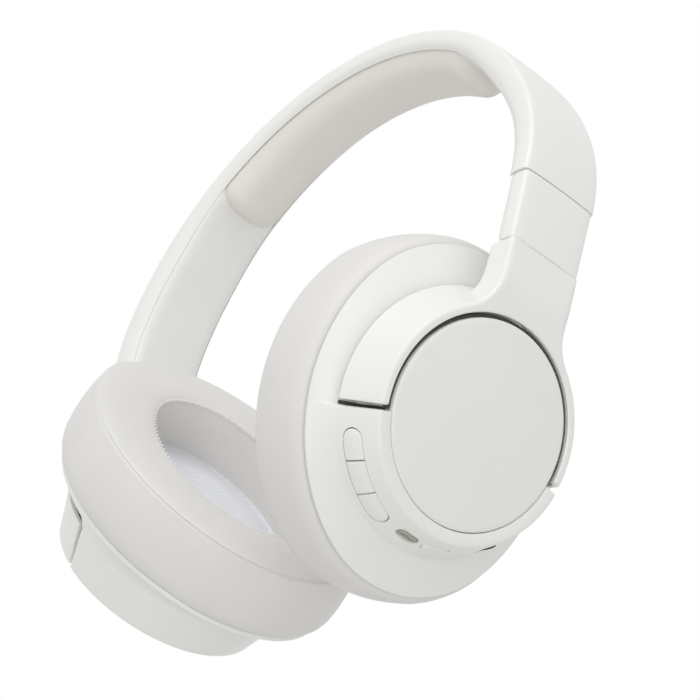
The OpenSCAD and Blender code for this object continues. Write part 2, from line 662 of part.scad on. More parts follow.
driver_cloth(RIGHT);  // driver_cloth_right
cup_screws(LEFT);  // cup_screws_left
cup_screws(RIGHT);  // cup_screws_right
battery();
main_board();
button_board();
volume_up_button();
multifunction_button();
volume_down_button();
power_button();
microphone_port();
jack_socket();
charging_socket();
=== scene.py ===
"""White folding over-ear headphones with wireless controls: the surfaces, soft goods and finishes
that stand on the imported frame, then the floor, the light and the camera."""

import json
from math import atan2, copysign, cos, degrees, exp, hypot, log1p, pi, radians, sin, sqrt, tan, tau

import bmesh
import bpy
from mathutils import Matrix, Vector, noise
from mathutils.bvhtree import BVHTree


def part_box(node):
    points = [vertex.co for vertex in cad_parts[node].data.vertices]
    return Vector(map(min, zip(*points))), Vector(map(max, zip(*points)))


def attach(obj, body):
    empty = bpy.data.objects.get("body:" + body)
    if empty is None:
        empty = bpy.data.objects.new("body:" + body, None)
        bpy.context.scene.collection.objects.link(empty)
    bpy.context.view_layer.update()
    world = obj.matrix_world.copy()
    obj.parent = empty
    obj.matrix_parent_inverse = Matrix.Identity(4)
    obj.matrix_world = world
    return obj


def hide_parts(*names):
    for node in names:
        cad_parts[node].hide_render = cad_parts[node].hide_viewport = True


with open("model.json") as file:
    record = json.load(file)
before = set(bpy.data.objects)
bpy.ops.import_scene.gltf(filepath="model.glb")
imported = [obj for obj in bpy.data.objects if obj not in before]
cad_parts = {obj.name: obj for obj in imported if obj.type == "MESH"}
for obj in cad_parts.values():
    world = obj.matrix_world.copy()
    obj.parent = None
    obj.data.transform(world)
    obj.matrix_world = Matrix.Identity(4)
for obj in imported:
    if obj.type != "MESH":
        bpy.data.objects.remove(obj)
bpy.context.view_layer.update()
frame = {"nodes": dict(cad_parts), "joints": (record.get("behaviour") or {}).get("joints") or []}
scene = bpy.context.scene
MM = 0.001
LEFT, RIGHT = 1, -1
SIDES = {LEFT: "left", RIGHT: "right"}


# ---- Headband shell ----
# The outer half of the band is one ABS moulding, broad and nearly flat outside, with its edges
# rolled over towards the head. It comes out of the tool satin, and it ends at the slider seams.

SHELL_BOX = [Vector(corner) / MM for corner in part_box("headband_shell")]
CROWN_R = 87.5
CROWN_HALF = 71
SHOULDER_R = 52.6
END_LEAN = 10
BAND_DEPTH = 9
BAND_DEPTH_AT_LIMB = 9.35
BAND_DEPTH_AT_PAD = 7.2
PAD_END = 60.0  # mm along the band from its top
RAMP_FROM, RAMP_TO = -4, 26  # past the pad's end, where the band deepens again
BAND_AT_SEAM = 26.3
BAND_AT_CROWN = 23.8
WIDENING = 1.7  # a power: most of the widening is near the seams
FACE_FALL = 0.45  # from the middle of the outer face to its sides
EDGE_R = 1.3
EDGE_END = 2.6  # depth where the edge has turned into the side
ROLL = 5.0  # how far the rolled edge reaches in from the side
ROLL_FROM = 3.4  # depth where it starts
ROLL_POWER = 2.3  # 2 would make it an ellipse
GROOVE = 1.5  # from the side to the groove that takes the lining and the pad
GROOVE_FLOOR = 6.0
SHELL_WHITE = "#f2f2ef"
SHELL_TINT = "#eeeeea"

middle_y = (SHELL_BOX[0].y + SHELL_BOX[1].y) / 2
crown_z = SHELL_BOX[1].z - CROWN_R
shoulder_x = (CROWN_R - SHOULDER_R) * sin(radians(CROWN_HALF))
shoulder_z = crown_z + (CROWN_R - SHOULDER_R) * cos(radians(CROWN_HALF))
shoulder_half = 90 + END_LEAN - CROWN_HALF
crown_length = radians(CROWN_HALF) * CROWN_R
half_length = crown_length + radians(shoulder_half) * SHOULDER_R


def band_place(s):
    """The frame at s mm along the band from its top: x to the rear, y inward, in the row's mm."""
    side, s = copysign(1, s), abs(s)
    if s < crown_length:
        turn, centre, r = s / CROWN_R, Vector((0, 0, crown_z)), CROWN_R
    else:
        turn = radians(CROWN_HALF) + (s - crown_length) / SHOULDER_R
        centre, r = Vector((shoulder_x, 0, shoulder_z)), SHOULDER_R
    out = Vector((sin(turn), 0, cos(turn)))
    at = centre + out * r
    return Vector((side * at.x, middle_y, at.z)), Vector((side * out.x, 0, out.z))


def band_half_width(s):
    share = min(1, abs(s) / half_length) ** WIDENING
    return (BAND_AT_CROWN + (BAND_AT_SEAM - BAND_AT_CROWN) * share) / 2


def smooth(x, low, high):
    """Rises from 0 at low to 1 at high, level at both ends."""
    u = min(1.0, max(0.0, (x - low) / (high - low)))
    return u * u * (3 - 2 * u)


def band_depth(s):
    """The band is thinner behind the pad, which lies sunk in it."""
    past = smooth(abs(s), PAD_END + RAMP_FROM, PAD_END + RAMP_TO)
    return BAND_DEPTH_AT_PAD + (BAND_DEPTH_AT_LIMB - BAND_DEPTH_AT_PAD) * past


def roll_depth(y, half, deep=BAND_DEPTH):
    """Depth of the band's inner face, y mm from its middle."""
    past = max(0, (abs(y) - (half - ROLL)) / ROLL)
    return ROLL_FROM + (deep - ROLL_FROM) * max(0, 1 - past**ROLL_POWER) ** (1 / ROLL_POWER)


def band_row(s, section):
    at, out = band_place(s)
    return [at + Vector((0, y, 0)) - out * depth for y, depth in section]


def mirrored(half_section):
    """Closes a section that is given from its middle line to its middle line."""
    return half_section + [(-y, depth) for y, depth in reversed(half_section) if y > 1e-6]


def outside(half, shrink=0.0):
    """The nearly flat outer face and its rounded edge, from the middle to where the side rolls in."""
    face = [(half * u, FACE_FALL * u**2 + shrink) for u in (0, 0.3, 0.6, 0.8)]
    edge = [(half - EDGE_R + EDGE_R * sin(turn), FACE_FALL + EDGE_R + shrink - EDGE_R * cos(turn))
            for turn in (0, 0.4, 0.8, 1.2, 1.57)]
    return face + edge + [(half, EDGE_END), (half, ROLL_FROM)]


def shell_section(half, deep):
    roll = [(half - u, roll_depth(half - u, half, deep)) for u in (0.02, 0.1, 0.3, 0.5, 0.75, 1.0, 1.3)]
    wall, lip = half - GROOVE, roll_depth(half - GROOVE, half, deep)
    groove = [(wall + 0.05, lip), (wall, lip + 0.15), (wall, GROOVE_FLOOR - 1.6),
              (wall - 0.4, GROOVE_FLOOR - 2), (wall - 2.6, GROOVE_FLOOR - 2), (wall - 3, GROOVE_FLOOR),
              (0, GROOVE_FLOOR)]
    return mirrored(outside(half) + roll + groove)


SHARP = 35  # edges turn sharp above so many degrees


def surface(name, rows, place=None, ring=False, ends=True):
    """A mesh from rows of points in mm: each row closes on itself, and with ring the rows do too."""
    count, across = len(rows), len(rows[0])
    place = place or Matrix.Identity(4)
    faces = []
    for i in range(count if ring else count - 1):
        here, there = i * across, (i + 1) % count * across
        for j in range(across):
            beside = (j + 1) % across
            faces.append((here + j, here + beside, there + beside, there + j))
    if ends and not ring:
        faces += [tuple(range(across)), tuple(range((count - 1) * across, count * across))]
    mesh = bpy.data.meshes.new(name)
    mesh.from_pydata([(place @ Vector(p)) * MM for row in rows for p in row], [], faces)
    return mesh


def piece(name, rows, body, material, stands_for=(), place=None, ring=False, ends=True, sharp=SHARP):
    return finished(name, surface(name, rows, place, ring, ends), body, material, stands_for, sharp)


def enter(name, data):
    """Brings a mesh, a lamp or a camera into the scene as an object."""
    made = bpy.data.objects.new(name, data)
    scene.collection.objects.link(made)
    return made


def finished(name, mesh, body, material, stands_for=(), sharp=SHARP):
    """Welds and shades a mesh, and hands it to the frame as a piece on a body."""
    work = bmesh.new()
    work.from_mesh(mesh)
    bmesh.ops.remove_doubles(work, verts=work.verts, dist=0.004 * MM)
    bmesh.ops.dissolve_degenerate(work, edges=work.edges, dist=0.002 * MM)
    bmesh.ops.recalc_face_normals(work, faces=work.faces)
    for face in work.faces:
        face.smooth = True
    work.to_mesh(mesh)
    work.free()
    mesh.set_sharp_from_angle(angle=radians(sharp))
    mesh.materials.append(material)
    made = enter(name, mesh)
    if body:
        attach(made, body)
    if stands_for:
        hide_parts(*stands_for)
    return made


def colour(code):
    """An sRGB hex colour as the linear one that a shader takes."""
    parts = [int(code[i : i + 2], 16) / 255 for i in (1, 3, 5)]
    return tuple(c / 12.92 if c <= 0.04045 else ((c + 0.055) / 1.055) ** 2.4 for c in parts) + (1.0,)


def add(material, kind, settings=None, links=None):
    """Adds a node, sets its inputs or its own settings, and links inputs to (node, output)."""
    made = material.node_tree.nodes.new("ShaderNode" + kind)
    for name, value in (settings or {}).items():
        if isinstance(name, int) or name in made.inputs:
            made.inputs[name].default_value = value
        else:
            setattr(made, name, value)
    for name, (source, output) in (links or {}).items():
        material.node_tree.links.new(source.outputs[output], made.inputs[name])
    return made


def blank(name):
    material = bpy.data.materials.new(name)
    material.use_nodes = True
    material.node_tree.nodes.clear()
    return material


DRIFT_MM = 24  # over which a moulding's gloss and colour drift
PLASTIC_IOR = 1.53


def moulded(name, base, tint, roughness, grain_mm, grain_depth_mm):
    """A moulded plastic: the tool's fine texture, and gloss and colour that drift a little."""
    made = blank(name)
    where = {"Vector": (add(made, "TexCoord"), "Object")}
    drift = add(made, "TexNoise", {"Scale": 1 / (DRIFT_MM * MM), "Detail": 2.0}, where)
    gloss = add(made, "MapRange",
                {"From Min": 0.3, "From Max": 0.7, "To Min": roughness - 0.04, "To Max": roughness + 0.04},
                {"Value": (drift, "Fac")})
    tone = add(made, "Mix", {"data_type": "RGBA", 6: colour(base), 7: colour(tint)}, {0: (drift, "Fac")})
    grain = add(made, "TexNoise", {"Scale": 1 / (grain_mm * MM), "Detail": 2.0}, where)
    bump = add(made, "Bump", {"Strength": 0.5, "Distance": grain_depth_mm * MM},
               {"Height": (grain, "Fac")})
    shader = add(made, "BsdfPrincipled", {"IOR": PLASTIC_IOR},
                 {"Base Color": (tone, 2), "Roughness": (gloss, "Result"), "Normal": (bump, "Normal")})
    add(made, "OutputMaterial", links={"Surface": (shader, "BSDF")})
    return made


# Moulded ABS from an eroded tool: satin, with a soft highlight along the rolled edges.
abs_satin = moulded("ABS, moulded satin white", SHELL_WHITE, SHELL_TINT, 0.36, 0.45, 0.006)

STEPS = 112
band_at = [-half_length + 2 * half_length * i / STEPS for i in range(STEPS + 1)]
shell_rows = [band_row(s, shell_section(band_half_width(s), band_depth(s))) for s in band_at]
piece("Headband_shell", shell_rows, "headband", abs_satin, ["headband_shell"])


# ---- Headband lining ----
# A thin ABS panel closes the channel from the head's side and carries the pad. It follows the
# rolled section of the shell, with only a hairline joint, and screws hold it near its ends.

LINING_GAP = 0.05
PAD_BED = 0.8  # how far the lining is sunk under the pad
BED_END = PAD_END - 3


def lining_row(s):
    half, deep = band_half_width(s), band_depth(s)
    reach = half - GROOVE - LINING_GAP
    sunk = PAD_BED if abs(s) < BED_END else 0.0
    face = [(reach * u, roll_depth(reach * u, half, deep) - sunk)
            for u in (0, 0.25, 0.5, 0.7, 0.8, 0.88, 0.94, 0.98)]
    rim = roll_depth(reach, half, deep) - sunk
    back = [(reach, rim - 0.15), (reach, GROOVE_FLOOR - 1.8), (reach - 2, GROOVE_FLOOR - 1.8),
            (reach - 2.8, GROOVE_FLOOR + 0.1), (0, GROOVE_FLOOR + 0.1)]
    return band_row(s, mirrored(face + back))


piece("Headband_lining", [lining_row(s) for s in band_at[1:-1]], "headband", abs_satin,
      ["headband_lining"])


# ---- Head pad ----
# Foam under polyurethane leather, glued into the lining. The cover is turned in along its long
# edges, so it swells between them, and its ends are cut to a wide curve.

PAD_TOP = 14.6
PAD_CURVE = 6.5  # length of the rounded end
PAD_POWER = 2.6  # of the curve that its ends and its crown follow
PAD_GAP = 0.35


def pad_row(s):
    half, deep = band_half_width(s), band_depth(s)
    reach = half - GROOVE - PAD_GAP
    end = max(0, (abs(s) - (PAD_END - PAD_CURVE)) / PAD_CURVE)
    width = reach * max(0.0, 1 - end**PAD_POWER) ** (1 / PAD_POWER)
    tall = 0.25 + 0.75 * max(0.0, 1 - end**3) ** 0.5
    pucker = 0.10 * noise.noise(Vector((s / 9, 0, 3))) + 0.05 * noise.noise(Vector((s / 3.1, 5, 3)))
    edge = roll_depth(reach, half, deep) - 0.35
    section = []
    for i in range(33):
        u = cos(pi * i / 32)
        crown = max(0.0, 1 - abs(u) ** PAD_POWER) ** 0.55
        crest = roll_depth(reach * u, half, deep) + (PAD_TOP - BAND_DEPTH) * crown
        lift = max(0.0, 1 - abs(u) ** 7) ** 0.5
        section.append((width * u, edge + (crest - edge + pucker * (1 - u * u)) * lift * tall))
    floor = [(-width * 0.98, GROOVE_FLOOR - 1.0), (width * 0.98, GROOVE_FLOOR - 1.0)]
    return band_row(s, section + floor)


PEBBLE_DEPTH, CREASE_DEPTH = 0.05, 0.10


# Polyurethane leather: a pebbled print in soft plastic film, matt, with a faint sheen.
def leather(name, base, tint, roughness, pebble_mm):
    made = blank(name)
    where = {"Vector": (add(made, "TexCoord"), "Object")}
    cloud = add(made, "TexNoise", {"Scale": 1 / (17 * MM), "Detail": 3.0}, where)
    tone = add(made, "Mix", {"data_type": "RGBA", 6: colour(base), 7: colour(tint)}, {0: (cloud, "Fac")})
    gloss = add(made, "MapRange", {"To Min": roughness - 0.05, "To Max": roughness + 0.07},
                {"Value": (cloud, "Fac")})
    pebble = add(made, "TexVoronoi", {"feature": "SMOOTH_F1", "Scale": 1 / (pebble_mm * MM)}, where)
    crease = add(made, "TexNoise", {"Scale": 1 / (2.6 * MM), "Detail": 4.0, "Distortion": 0.6}, where)
    print_bump = add(made, "Bump", {"Strength": 0.45, "Distance": PEBBLE_DEPTH * MM},
                     {"Height": (pebble, "Distance")})
    skin_bump = add(made, "Bump", {"Strength": 0.35, "Distance": CREASE_DEPTH * MM},
                    {"Height": (crease, "Fac"), "Normal": (print_bump, "Normal")})
    shader = add(made, "BsdfPrincipled",
                 {"IOR": 1.47, "Sheen Weight": 0.12, "Sheen Roughness": 0.5},
                 {"Base Color": (tone, 2), "Roughness": (gloss, "Result"), "Normal": (skin_bump, "Normal")})
    add(made, "OutputMaterial", links={"Surface": (shader, "BSDF")})
    return made


pad_leather = leather("polyurethane leather, printed grain, warm white", "#eae6e0", "#e4e0d9", 0.52, 0.9)
pad_at = [-PAD_END * cos(pi * i / 120) for i in range(121)]
head_pad = piece("Head_pad", [pad_row(s) for s in pad_at], "headband", pad_leather,
                 ["head_pad"], sharp=60)


# ---- Hinge blocks ----
# The lower end of each side of the band: an ABS block screwed to the slider strip, cut away
# inside for the knuckle, and closed towards the head by a small cover. It slides as one piece.

BLOCK_TOP = 20.72
BLOCK_WIDE, BLOCK_NARROW = 25.2, 24.7
PIN_X, PIN_DEPTH = 3.8, 5.2
STUB_DEPTH = 4.5
LEFT_TURN = 11
CUP_LEAN = 27.5
PIVOT_DEPTH = 7
KNUCKLE_ROOM = ((-1, -6.1, 1.5), (7.5, 6.1, 12))
SCREW_ROOM = ((8.8, -9.2, 4.7), (BLOCK_TOP - 0.6, 9.2, 12))
joint_at = {joint["name"]: Vector(joint["pos_m"]) / MM for joint in frame["joints"] if "pos_m" in joint}


def limb(side):
    """From the outer face at the fold seam: x up, y to the rear, z in towards the head."""
    lean = radians(END_LEAN)
    up = Vector((side * sin(lean), 0, cos(lean)))
    inward = Vector((-side * cos(lean), 0, sin(lean)))
    at = joint_at[f"fold_{SIDES[side]}"] - up * PIN_X - inward * PIN_DEPTH
    return Matrix.Translation(at) @ Matrix((up, Vector((0, 1, 0)), inward)).transposed().to_4x4()


def block_half(x):
    return (BLOCK_NARROW + (BLOCK_WIDE - BLOCK_NARROW) * x / BLOCK_TOP) / 2


def block_row(x, shrink=0.0):
    """A section x mm above the fold seam, with its inner corner rounded about the hinge pin."""
    half = block_half(x) - shrink
    inner = [(half - u, roll_depth(half - u, half) - shrink)
             for u in (0.02, 0.1, 0.3, 0.6, 1.0, 1.5, 2.0, 2.6, 3.4, 4.4, 6, 9, half)]
    corner = sqrt(max(0.0, 1 - max(0.0, 1 - x / PIN_X) ** 2))
    section = mirrored(outside(half, shrink) + inner)
    return [(x, y, z if z < PIN_DEPTH else PIN_DEPTH + (z - PIN_DEPTH) * corner) for y, z in section]


def to_cut(work):
    """A closed bmesh as a mesh that cut takes."""
    bmesh.ops.recalc_face_normals(work, faces=work.faces)
    mesh = bpy.data.meshes.new("cutter")
    work.to_mesh(mesh)
    work.free()
    return mesh


def box(low, high, place):
    """A block between two corners in mm, to be cut out of a piece."""
    work = bmesh.new()
    bmesh.ops.create_cube(work, size=1)
    for v in work.verts:
        v.co = place @ Vector([(a + b) / 2 + c * (b - a) for a, b, c in zip(low, high, v.co)]) * MM
    return to_cut(work)


def rod(radius, length, sides, place):
    """A round bar in mm along the place's z, to be cut out of a piece."""
    work = bmesh.new()
    bmesh.ops.create_cone(work, cap_ends=True, segments=sides, radius1=radius * MM, radius2=radius * MM,
                          depth=length * MM)
    for v in work.verts:
        v.co = place @ (v.co / MM) * MM
    return to_cut(work)


def cut(body_piece, mesh):
    """Cuts a closed mesh out of a piece, and keeps the piece's shading."""
    tool = enter("cutter", mesh)
    step = body_piece.modifiers.new("cut", "BOOLEAN")
    step.object = tool
    step.solver = "EXACT"
    made = bpy.data.meshes.new_from_object(body_piece.evaluated_get(bpy.context.evaluated_depsgraph_get()))
    body_piece.modifiers.clear()
    made.name = body_piece.data.name + " cut"
    body_piece.data = made
    made.set_sharp_from_angle(angle=radians(SHARP))
    bpy.data.objects.remove(tool)
    bpy.data.meshes.remove(mesh)


for side, word in SIDES.items():
    rows = [block_row(0.0, 0.25), block_row(0.12, 0.08)]
    rows += [block_row(x) for x in (0.3, 0.7, 1.2, 1.8, 2.5, 3.2, PIN_X, 5, 7, 10, 13, 16, 19, 20.4)]
    rows += [block_row(20.62, 0.08), block_row(BLOCK_TOP, 0.25)]
    block = piece(f"Hinge_block_{word}", rows, f"slider_{word}", abs_satin, [f"hinge_block_{word}"],
                  limb(side))
    for low, high in (KNUCKLE_ROOM, SCREW_ROOM):
        cut(block, box(low, high, limb(side)))


# ---- Hinge block covers ----
# A snap-in ABS panel over the slider screws, on the side of the block that faces the head. It
# carries on the block's rolled section, and two countersunk holes show the screws.

COVER_LOW, COVER_HIGH = 8.95, 20.0
COVER_HALF, COVER_BACK = 9.08, 5.9
COVER_EASE = 0.2  # how far its ends are eased
SCREW_X, SCREW_Y = 15, 3.6
SCREW_HOLE_R = 1.45


def cover_row(x, shrink=0.0):
    reach = COVER_HALF - shrink
    face = [(reach * u, roll_depth(reach * u, block_half(x)) - shrink)
            for u in (0, 0.3, 0.55, 0.75, 0.85, 0.92, 0.97, 1)]
    return [(x, y, z) for y, z in mirrored(face + [(reach, COVER_BACK), (0, COVER_BACK)])]


for side, word in SIDES.items():
    rows = [cover_row(COVER_LOW, COVER_EASE), cover_row(COVER_LOW + COVER_EASE), cover_row(14),
            cover_row(COVER_HIGH - COVER_EASE), cover_row(COVER_HIGH, COVER_EASE)]
    panel = piece(f"Hinge_cover_{word}", rows, f"slider_{word}", abs_satin, [f"hinge_cover_{word}"],
                  limb(side))
    for y in (-SCREW_Y, SCREW_Y):
        cut(panel, rod(SCREW_HOLE_R, 8, 32, limb(side) @ Matrix.Translation((SCREW_X, y, 8))))


# ---- Yokes ----
# One ABS moulding for each cup: half a ring round the cap, deep and flaring behind its face, with
# its stem flowing up out of it in wide fillets and bending to meet the hinge block.

RING_IN, RING_OUT = 28.9, 31.4
RING_BACK = 35.4
RING_TOP = 30  # up to here the yoke's face is flat
YOKE_DEPTH = 13.3
STEM_HALF = 12.3
STEM_DEPTH = 9.0
FILLET = 14.0
REAR_ARM, FRONT_ARM = 107.5, 93.5  # degrees from straight up to the arms' ends
BEND_SOFT = 1.2  # how softly the stem bends
FACE_EDGE = 1.2  # radius of the edge of its face
SEAM_GAP = 0.3  # between its stem and the hinge block
ARM_END_R = 1.3
STUB_HOLE_R = 3.66


def turned(side):
    """The limb's frame, turned about the swivel stub as the cup stands."""
    turn = radians(-LEFT_TURN if side == LEFT else 0)
    stub = Matrix.Translation((0, 0, STUB_DEPTH))
    return limb(side) @ stub @ Matrix.Rotation(turn, 4, "X") @ stub.inverted()


def cup(side):
    """From the middle of the cap: x up, y to the rear, z in towards the head."""
    turning = turned(side) @ Matrix.Rotation(radians(CUP_LEAN - END_LEAN), 4, "Y")
    turning.translation = (0, 0, 0)
    pivot = joint_at[f"tilt_{SIDES[side]}"]
    return Matrix.Translation(pivot - turning @ Vector((0, 0, PIVOT_DEPTH))) @ turning


fillet_x = sqrt((RING_OUT + FILLET) ** 2 - (STEM_HALF + FILLET) ** 2)
fillet_top = degrees(atan2(STEM_HALF, fillet_x))
fillet_foot = degrees(atan2(STEM_HALF + FILLET, fillet_x))
# The seam's outer and inner edges and the stem's bend, in the cup's own frame.
seam_out = cup(LEFT).inverted() @ (turned(LEFT) @ Vector((-SEAM_GAP, 0, 0)))
seam_in = cup(LEFT).inverted() @ (turned(LEFT) @ Vector((-SEAM_GAP, 0, STEM_DEPTH)))
seam_slope = (seam_in.x - seam_out.x) / (seam_in.z - seam_out.z)
bend_slope = tan(radians(CUP_LEAN - END_LEAN))
bend_x = seam_out.x - seam_out.z / bend_slope


def outline(angle):
    """How far the yoke's face reaches from the cup's axis, at degrees from straight up."""
    a = abs(angle)
    if a >= fillet_foot:
        return RING_OUT
    if a <= fillet_top:
        return STEM_HALF / max(1e-6, sin(radians(a)))
    direction = Vector((cos(radians(a)), sin(radians(a))))
    centre = Vector((fillet_x, STEM_HALF + FILLET))
    along = direction.dot(centre)
    return along - sqrt(max(0, along**2 - centre.length_squared + FILLET**2))


def side_distance(x, y):
    """How far a point of the face is inside the yoke's side outline."""
    r = hypot(x, y)
    if x > fillet_x:
        return STEM_HALF - abs(y)
    if degrees(atan2(abs(y), x)) < fillet_foot:
        return hypot(x - fillet_x, abs(y) - STEM_HALF - FILLET) - FILLET
    return RING_OUT - r


def round_axis(section, angle):
    """Points of a (radius, depth) section, at degrees round the cup's axis from straight up."""
    a = radians(angle)
    return [(r * cos(a), r * sin(a), z) for r, z in section]


def face_depth(x):
    """The stem's face bends back above the ring, with a soft bend."""
    if x <= RING_TOP:
        return 0
    u = (x - bend_x) / BEND_SOFT
    return bend_slope * BEND_SOFT * (log1p(exp(u)) if u < 20 else u)


def yoke_row(angle):
    """A section along one ray from the cup's axis: up the inner wall, over the face and down behind."""
    a = radians(angle)

    def reach(z):
        end = (seam_out.x + seam_slope * (z - seam_out.z)) / max(0.05, cos(a))
        return min(outline(angle), end)

    def wall(z):
        return RING_OUT + (RING_BACK - RING_OUT) * (z - 1.2) / (YOKE_DEPTH - 1.2)

    def point(r, z, share=1.0):
        x, y = r * cos(a), r * sin(a)
        return x, y, z + face_depth(x) * share

    rim = reach(seam_out.z)
    row = round_axis(((RING_IN, 1.5), (RING_IN, 0.35), (RING_IN + 0.35, 0.0)), angle)
    face = [RING_IN + 0.5 + (rim - FACE_EDGE - RING_IN - 0.5) * u for u in (0.2, 0.4, 0.6, 0.8)]
    face += [rim - inside for inside in (1.15, 0.9, 0.65, 0.4, 0.2, 0.06, 0.0)]
    for r in face:
        x, y, z = point(r, 0.0)
        u = 1 - max(0.0, side_distance(x, y)) / FACE_EDGE
        row.append((x, y, z + FACE_EDGE * (1 - sqrt(max(0.0, 1 - u * u))) if u > 0 else z))
    excess = max(0.0, rim - RING_OUT)
    ringlike = 1 - smooth(excess, 0, 4)
    for z in (1.8, 3.2, 5.0, 7.0, 8.0):
        r = wall(z)
        if excess > 0:
            r = reach(seam_out.z + z) * (1 - ringlike) + wall(z) * ringlike
            r = max(r, min(wall(z), r + 4))
        row.append(point(r, z))
    for share, z in ((0.97, 8.6), (0.9, 8.95), (0.45, 9.0), (0.12, 9.1), (0.0, 9.6)):
        past = max(0.0, reach(seam_out.z + z) - wall(z)) if excess > 0 else 0.0
        row.append(point(wall(z) + past * share, z, share))
    foot = ((RING_BACK - 0.35, YOKE_DEPTH - 1.2), (RING_BACK, YOKE_DEPTH - 0.3),
            (RING_BACK - 0.3, YOKE_DEPTH), (RING_BACK - 1.6, YOKE_DEPTH), (RING_BACK - 1.9, YOKE_DEPTH - 0.4),
            (30.6, 2.4), (29.6, 1.7))
    return row + round_axis(foot, angle)


def yoke_angles():
    stem = [0, 2.5, 5, 7.5, 9.5, 11, 12, 12.8, 13.4, 13.8, 14.0, 14.2, 14.6, 15.2, 16, 17, 18, 19, 20, 21.5]
    fillet = [21.5 + (fillet_foot - 21.5) * i / 8 for i in range(1, 9)]
    ring = [fillet_foot + 2.5 * i for i in range(1, 30)]
    half = sorted(set(round(v, 3) for v in stem + fillet + ring))
    rear, front = ([v for v in half if v < end - 2.5] + [end - 1.6, end - 0.7, end - 0.25, end]
                   for end in (REAR_ARM, FRONT_ARM))
    return [-v for v in reversed(front) if v > 0] + rear


def blunt(row, angle, end):
    """Rounds the arm's end: rows close to it draw in towards the middle of their section."""
    left = end - abs(angle)
    if left > ARM_END_R:
        return row
    draw = 0.7 * (1 - sqrt(max(0.0, 1 - (1 - left / ARM_END_R) ** 2)))
    middle = sum((Vector(p) for p in row), Vector()) / len(row)
    inward = [middle - Vector(p) for p in row]
    return [Vector(p) + way.normalized() * min(draw, 0.45 * way.length) for p, way in zip(row, inward)]


for side, word in SIDES.items():
    rows = [blunt(yoke_row(v), v, REAR_ARM if v > 0 else FRONT_ARM) for v in yoke_angles()]
    yoke = piece(f"Yoke_{word}", rows, f"yoke_{word}", abs_satin, [f"yoke_{word}"], cup(side),
                 sharp=32)
    lay = turned(side) @ Matrix.Translation((0.65, 0, STUB_DEPTH)) @ Matrix.Rotation(pi / 2, 4, "Y")
    cut(yoke, rod(STUB_HOLE_R, 6, 48, lay))


# ---- Ear cup housings ----
# An ABS moulding: a drum behind the cap, whose lower half comes out flush with the yoke and has
# the controls in its wall, then a hollow flare out to the oval rim that the cushion sits on.

DRUM_LIP = 27.68
NECK_R = 27.6
WALL_TOP_R, WALL_TOP = RING_OUT + 0.1, 0.8  # the wall's radius and depth, by the face
WALL_FOOT_R, WALL_FOOT = 35.2, 12.2
RIM_DEPTH = 19.3
RIM_R, END_R, RIM_SIDE = 46.1, 36.0, 40.0
CANT = 17.6
HOUSING_REAR, HOUSING_FRONT = 109.7, 97.0

end_x = RIM_R - END_R
side_r = (end_x**2 + RIM_SIDE**2 - END_R**2) / (2 * (RIM_SIDE - END_R))
side_y = side_r - RIM_SIDE
end_half = atan2(side_y, end_x)


def rim_reach(angle, off=0.0):
    """Distance from the cup's axis to the oval rim moved out by off, at a cup angle in degrees."""
    a = radians(angle - CANT)
    c, s = abs(cos(a)), abs(sin(a))
    along = end_x * c
    reach = along + sqrt(max(0, along**2 - end_x**2 + (END_R + off) ** 2))
    if atan2(reach * s, reach * c - end_x) <= end_half:
        return reach
    along = -side_y * s
    return along + sqrt(along**2 - side_y**2 + (side_r + off) ** 2)


def flare(start, pull, end, count):
    """A quadratic sweep through three (radius, depth) points."""
    return [tuple((1 - t) ** 2 * p + 2 * t * (1 - t) * q + t * t * r for p, q, r in zip(start, pull, end))
            for t in (i / count for i in range(1, count + 1))]


def housing_row(angle, drum):
    """drum is 1 where the housing comes out to the face, 0 where the yoke passes, between at its ends."""
    rim = rim_reach(angle)
    out = [(27.0, 2.9), (DRUM_LIP, 2.6), (DRUM_LIP, 0.4), (DRUM_LIP + 0.12, 0.12), (DRUM_LIP + 0.4, 0.0),
           (30.0, 0.0), (RING_OUT - 0.75, 0.0), (RING_OUT - 0.35, 0.1), (RING_OUT - 0.08, 0.38),
           (WALL_TOP_R, WALL_TOP)]
    out += [(WALL_TOP_R + (WALL_FOOT_R - WALL_TOP_R) * u, WALL_TOP + (WALL_FOOT - WALL_TOP) * u)
            for u in (0.15, 0.3, 0.45, 0.6, 0.75, 0.9, 1)]
    out += [(35.3, 13.0)]
    low = out + flare((35.3, 13.0), (36.3, 15.5), (rim, RIM_DEPTH), 12)
    neck = [(27.0, 2.9), (NECK_R - 0.3, 2.5), (NECK_R, 2.8)]
    neck += [(NECK_R, 2.8 + 9.4 * i / 12) for i in range(1, 13)]
    neck += [(NECK_R + 0.4, 13.4), (NECK_R + 1.4, 14.3), (33.0, 14.65)]
    high = neck + flare((33.0, 14.65), (36.5, 15.2), (rim, RIM_DEPTH), 12)
    outer = [(a[0] * drum + b[0] * (1 - drum), a[1] * drum + b[1] * (1 - drum)) for a, b in zip(low, high)]
    edge = [(rim + 0.05, RIM_DEPTH + 0.35), (rim - 0.02, RIM_DEPTH + 0.9), (rim - 0.25, RIM_DEPTH + 1.2),
            (rim - 0.6, RIM_DEPTH + 1.3), (rim - 2.2, RIM_DEPTH + 1.3), (rim - 2.6, RIM_DEPTH + 0.2)]
    inner = [(33.5, 17.2), (27.0, 16.9), (25.2, 15.0), (25.2, 5.0), (25.2, 3.4)]
    return round_axis(outer + edge + inner, angle)


